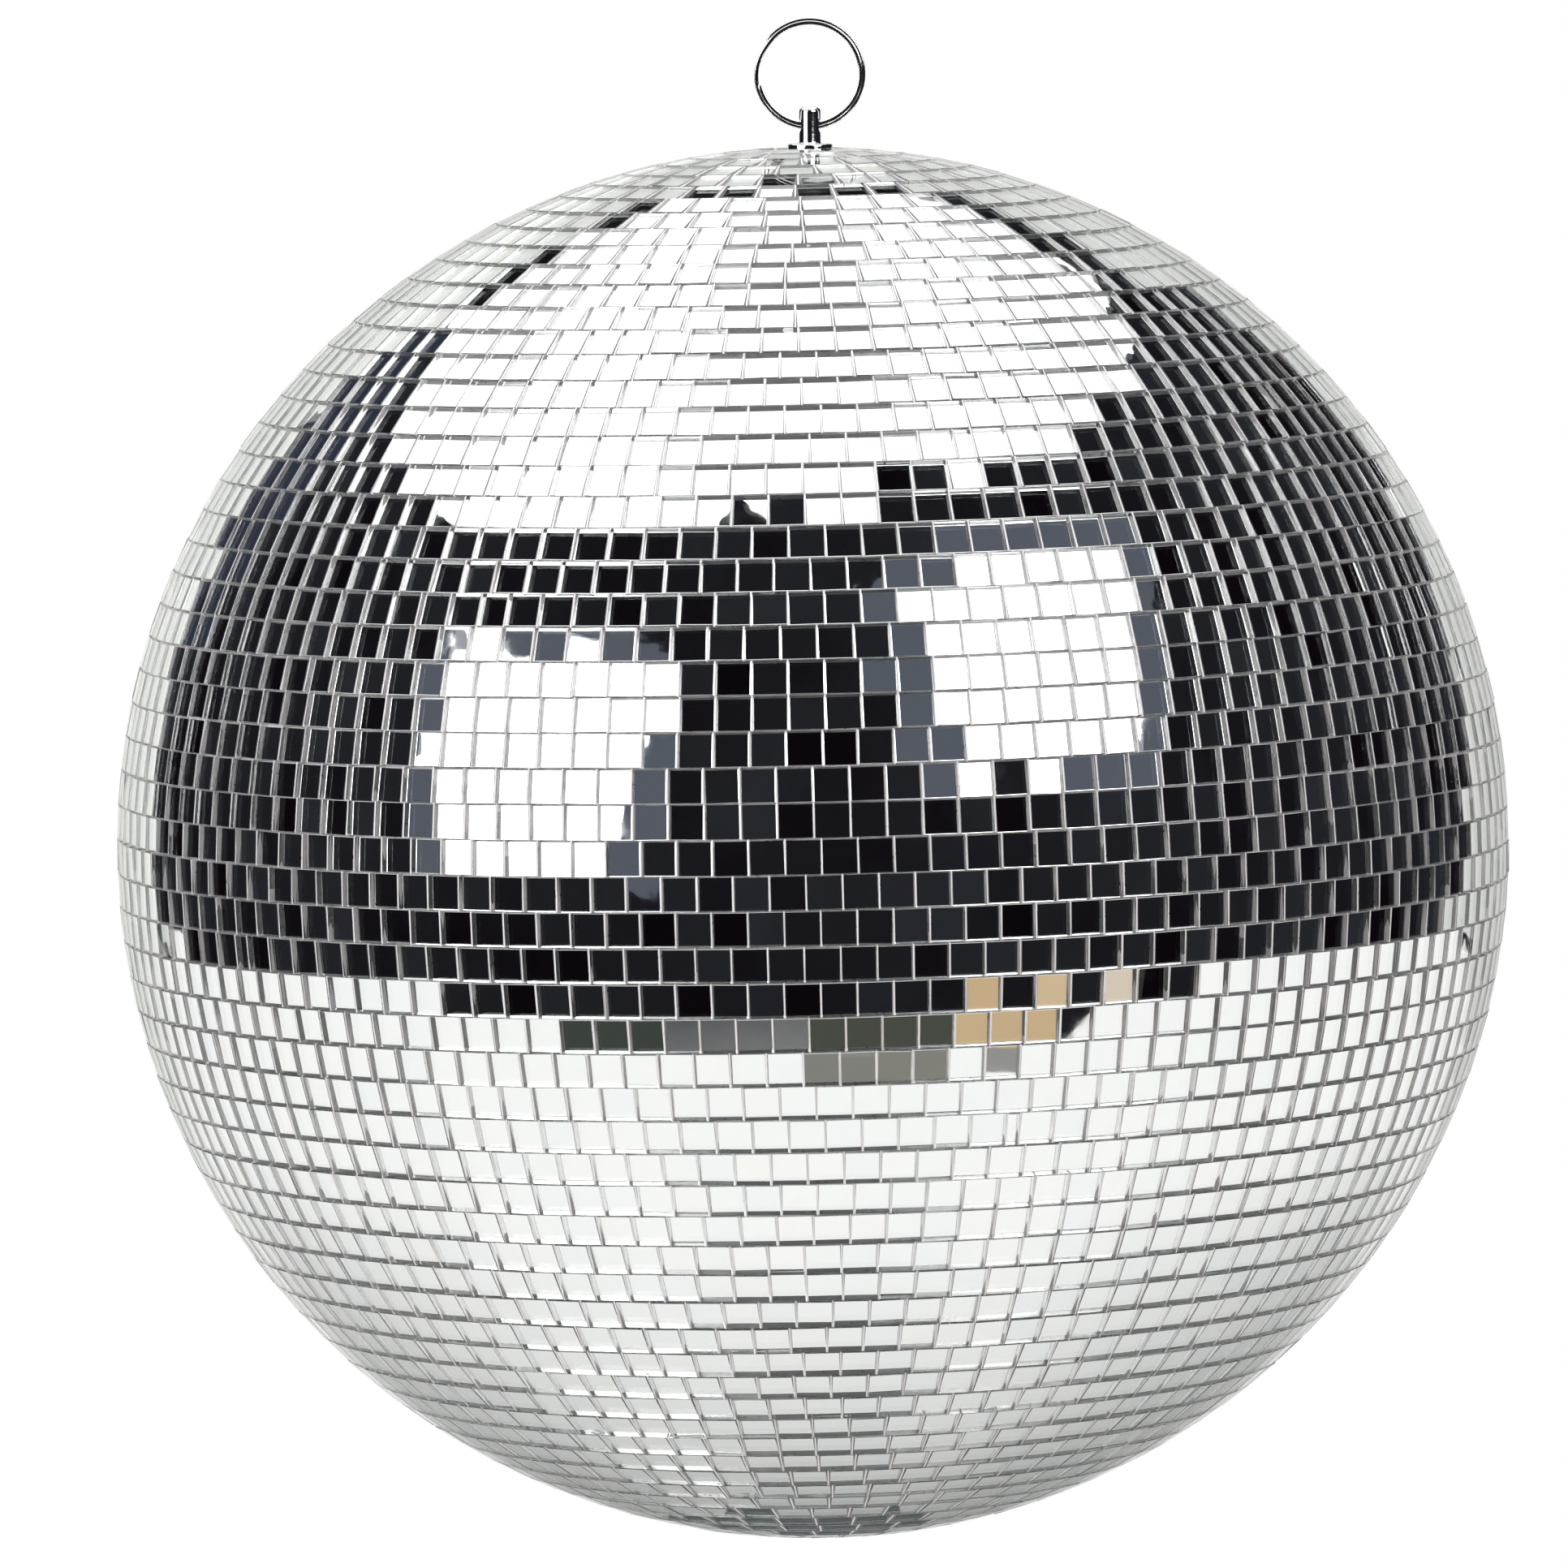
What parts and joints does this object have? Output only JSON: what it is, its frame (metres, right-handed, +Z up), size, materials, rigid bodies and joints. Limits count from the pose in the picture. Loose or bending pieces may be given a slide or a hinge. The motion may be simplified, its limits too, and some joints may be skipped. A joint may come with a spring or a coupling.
{
  "type": "mirror ball",
  "caption": "Ball covered in rows of small flat glass mirrors on a hollow plastic core, hung by a split ring through a drilled top stud.",
  "frame": {"origin": "the point inside the top of the split ring where a hook bears", "axes": "+Z up along the ball's axis, the split ring in the XZ plane, the stud's cross-hole along X"},
  "size_m": [0.3999, 0.4, 0.4366],
  "materials": {
    "mirror_glass": "silvered glass",
    "ring_chrome": "polished",
    "stud_plated_steel": "polished",
    "zinc_steel": "zinc plated",
    "core_plastic": "moulded, white"
  },
  "bodies": {
    "hanging_ring": {"split_ring": "ring_chrome"},
    "ball": {"bottom_hex_nut": "zinc_steel", "bottom_washer": "zinc_steel", "coupling_nut": "zinc_steel", "equator_joint_ring": "core_plastic", "hanger_stud": "stud_plated_steel", "lower_core_shell": "core_plastic", "mirror_rows_01_02": "mirror_glass", "mirror_rows_03_04": "mirror_glass", "mirror_rows_05_06": "mirror_glass", "mirror_rows_07_08": "mirror_glass", "mirror_rows_09_10": "mirror_glass", "mirror_rows_11_12": "mirror_glass", "mirror_rows_13_14": "mirror_glass", "mirror_rows_15_16": "mirror_glass", "mirror_rows_17_18": "mirror_glass", "mirror_rows_19_20": "mirror_glass", "mirror_rows_21_22": "mirror_glass", "mirror_rows_23_24": "mirror_glass", "mirror_rows_25_26": "mirror_glass", "mirror_rows_27_28": "mirror_glass", "mirror_rows_29_30": "mirror_glass", "mirror_rows_31_32": "mirror_glass", "mirror_rows_33_34": "mirror_glass", "mirror_rows_35_36": "mirror_glass", "mirror_rows_37_38": "mirror_glass", "mirror_rows_39_40": "mirror_glass", "mirror_rows_41_42": "mirror_glass", "mirror_rows_43_44": "mirror_glass", "mirror_rows_45_46": "mirror_glass", "mirror_rows_47_48": "mirror_glass", "mirror_rows_49_50": "mirror_glass", "mirror_rows_51_52": "mirror_glass", "mirror_rows_53_54": "mirror_glass", "mirror_rows_55_56": "mirror_glass", "mirror_rows_57_58": "mirror_glass", "mirror_rows_59_60": "mirror_glass", "mirror_rows_61": "mirror_glass", "tie_rod": "zinc_steel", "top_backing_plate": "zinc_steel", "top_hex_nut": "zinc_steel", "top_lock_washer": "zinc_steel", "upper_core_shell": "core_plastic"}
  },
  "joints": [
    {"name": "ball_swing", "type": "hinge", "parent": "hanging_ring", "child": "ball", "pos_m": [0, 0, -0.029], "axis": [1, 0, 0], "range_deg": [-100, 100]}
  ]
}
